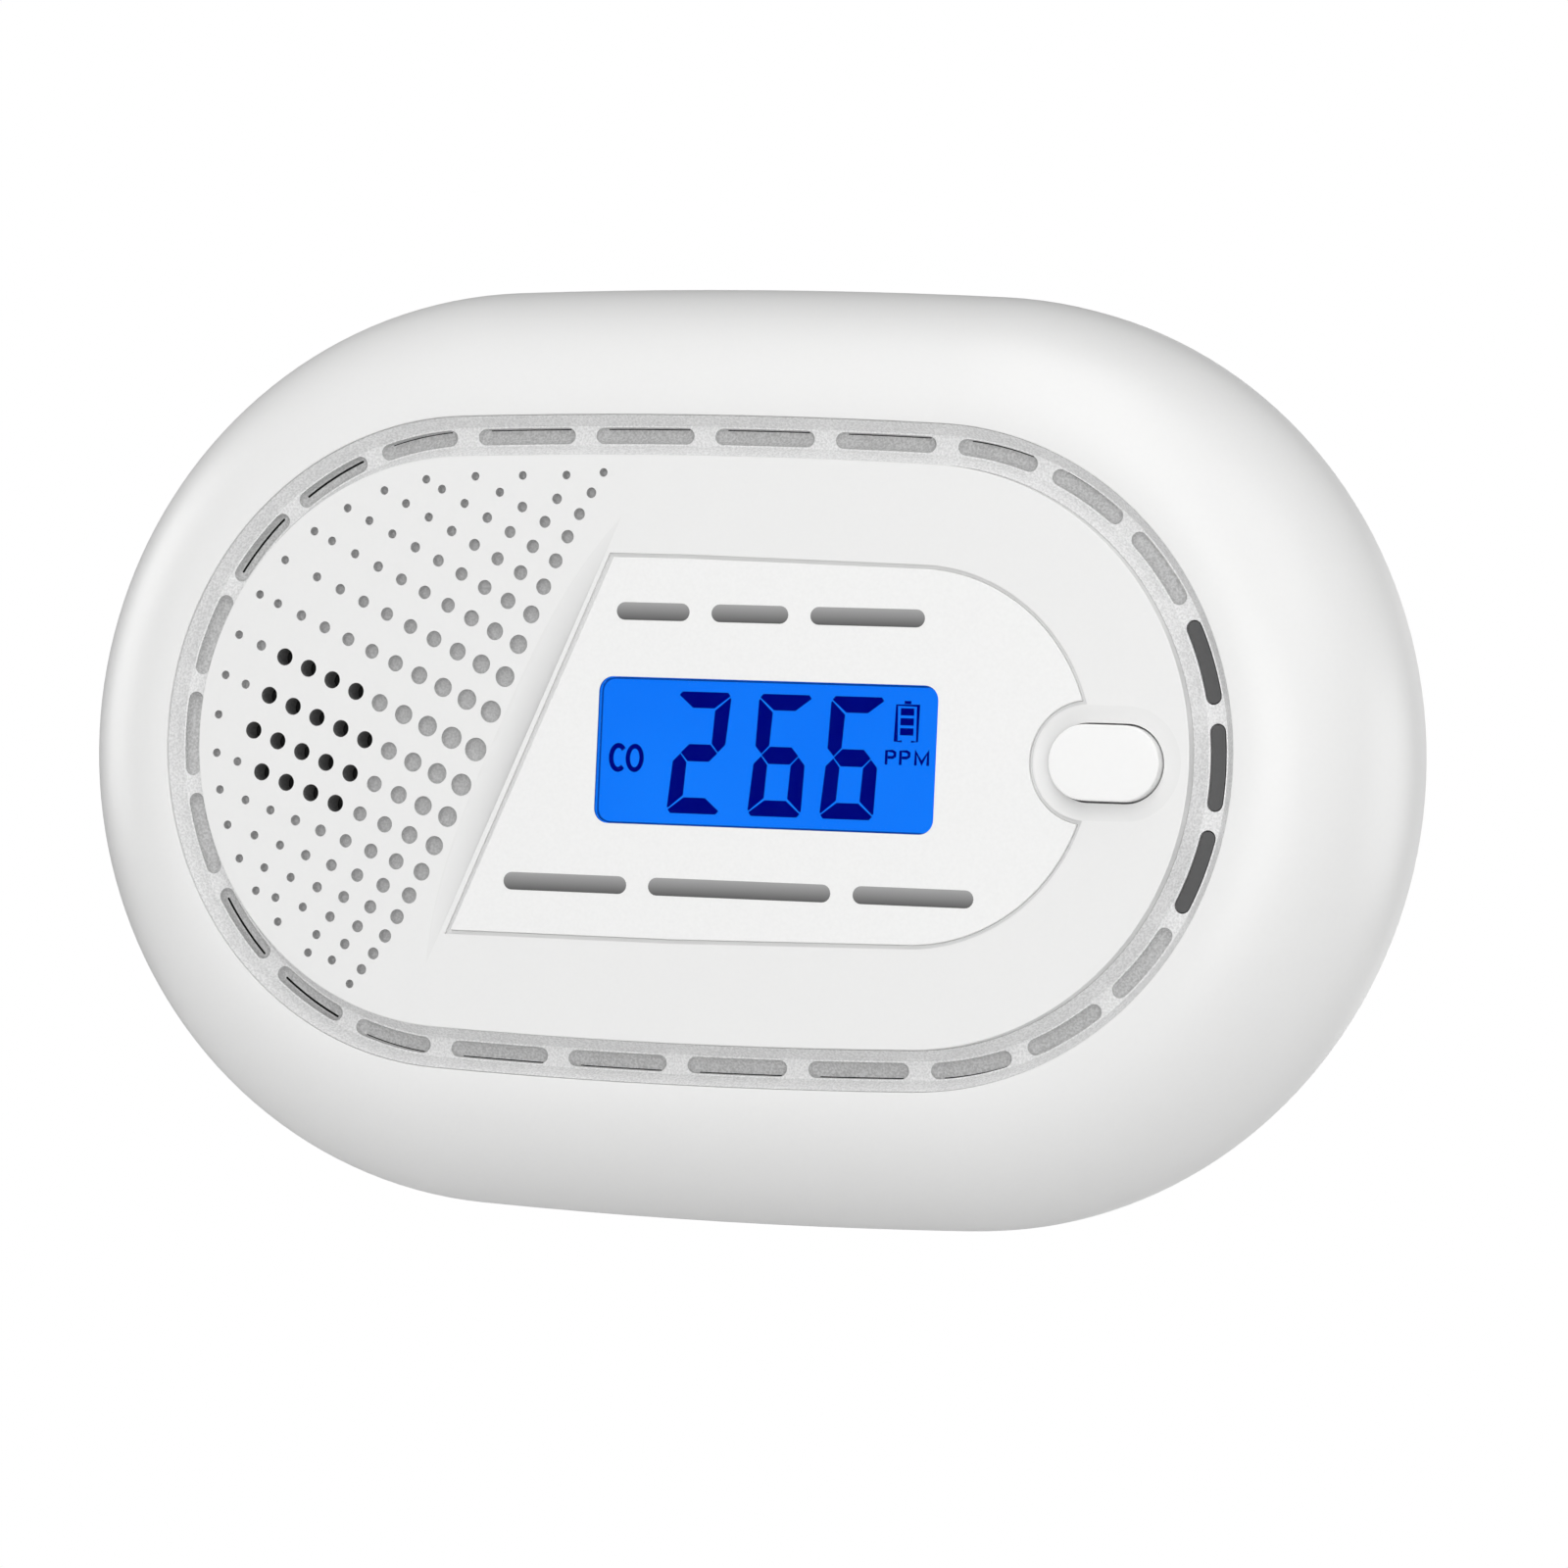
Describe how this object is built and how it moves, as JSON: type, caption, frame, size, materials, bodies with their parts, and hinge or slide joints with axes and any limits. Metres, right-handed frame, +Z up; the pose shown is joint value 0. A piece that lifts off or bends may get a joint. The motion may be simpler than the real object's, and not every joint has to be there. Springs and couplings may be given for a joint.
{
  "type": "carbon monoxide alarm",
  "caption": "Oval wall-mounted carbon monoxide alarm: domed cover, slotted vent ring, backlit display, sound outlet, sprung test button, battery bay with hinged door and hook-on wall bracket.",
  "frame": {"origin": "centre of the wall bracket's back face, where it meets the wall", "axes": "+Z up, the face looks along -Y, +X to the right as one faces it"},
  "size_m": [0.1212, 0.029, 0.08],
  "materials": {
    "shell_white": "satin-gloss moulded ABS",
    "ring_white": "fine spark-eroded grain",
    "panel_white": "fine-grained overlay",
    "rear_white": "matt moulded ABS",
    "bracket_white": "matt moulded ABS",
    "smoked_window": "smoked translucent acrylic",
    "clear_window": "clear acrylic",
    "lcd_blue": "backlit display glass",
    "light_guide": "frosted acrylic",
    "board_green": "solder-masked glass epoxy",
    "black_plastic": "moulded",
    "grey_rubber": "moulded",
    "steel": "plated",
    "brass": "rolled sheet",
    "cell_wrap": "printed film wrap",
    "mesh_grey": "woven dust mesh"
  },
  "bodies": {
    "bracket": {"wall_bracket": "bracket_white"},
    "housing": {"front_cover": "shell_white", "vent_ring": "ring_white", "display_panel": "panel_white", "display_window": "clear_window", "lcd_cell": "lcd_blue", "backlight_panel": "light_guide", "lcd_holder": "black_plastic", "zebra_connector": "grey_rubber", "switch_body": "black_plastic", "light_pipe_upper": "smoked_window", "light_pipe_middle": "smoked_window", "light_pipe_lower": "smoked_window", "indicator_led_upper": "light_guide", "indicator_led_middle": "light_guide", "indicator_led_lower": "light_guide", "main_board": "board_green", "controller_chip": "black_plastic", "crystal_can": "steel", "boost_coil": "black_plastic", "supply_capacitor": "black_plastic", "sensor_body": "rear_white", "sensor_cap": "steel", "sensor_seal": "grey_rubber", "horn_housing": "black_plastic", "piezo_disc": "brass", "horn_gasket": "grey_rubber", "dust_mesh": "mesh_grey", "rear_housing": "rear_white", "rear_pad_left": "grey_rubber", "rear_pad_right": "grey_rubber", "battery_cell_upper": "cell_wrap", "battery_cell_lower": "cell_wrap", "spring_upper": "steel", "spring_lower": "steel", "contact_bridge": "steel", "contact_positive": "steel", "contact_negative": "steel", "cover_screw_1": "steel", "cover_screw_2": "steel", "cover_screw_3": "steel", "cover_screw_4": "steel", "board_screw_1": "steel", "board_screw_2": "steel", "board_screw_3": "steel"},
    "button": {"test_button": "shell_white"},
    "plunger": {"switch_plunger": "black_plastic"},
    "door": {"battery_door": "rear_white"}
  },
  "joints": [
    {"name": "housing_lift", "type": "slide", "parent": "bracket", "child": "housing", "axis": [0, 0, 1], "range_m": [0, 0.0078]},
    {"name": "test_button_press", "type": "slide", "parent": "housing", "child": "button", "axis": [0, 1, 0], "range_m": [0, 0.0005], "stiffness_N_per_m": 600, "springref_m": -0.0006},
    {"name": "switch_plunger_press", "type": "slide", "parent": "housing", "child": "plunger", "axis": [0, 1, 0], "range_m": [0, 0.0005]},
    {"name": "battery_door_hinge", "type": "hinge", "parent": "housing", "child": "door", "pos_m": [0, -0.0034, -0.0424], "axis": [-1, 0, 0], "range_deg": [0, 95]}
  ],
  "couplings": [
    {"joint": "switch_plunger_press", "follows": "test_button_press", "ratio": 1}
  ]
}
